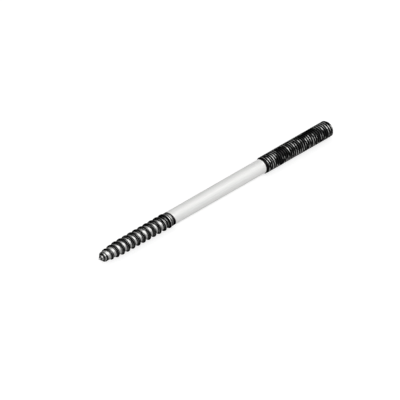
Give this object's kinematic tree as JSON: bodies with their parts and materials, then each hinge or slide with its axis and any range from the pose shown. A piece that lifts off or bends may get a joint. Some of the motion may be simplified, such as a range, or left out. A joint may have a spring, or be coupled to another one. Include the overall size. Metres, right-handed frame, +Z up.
{
  "type": "hanger bolt",
  "caption": "Steel rod with a pointed wood thread at one end, a plain shank and a machine thread at the other, for hanging things from timber.",
  "frame": {"origin": "on the surface that the rod lies on, below the middle of its length", "axes": "+X along the rod from the point towards the flat end of the machine thread, +Z up"},
  "size_m": [0.15, 0.008, 0.008],
  "materials": {
    "steel": "pale satin zinc on the plain shank, dark in the grooves of both threads with bright crests"
  },
  "bodies": {
    "root": {"hanger_bolt": "steel"}
  },
  "joints": []
}
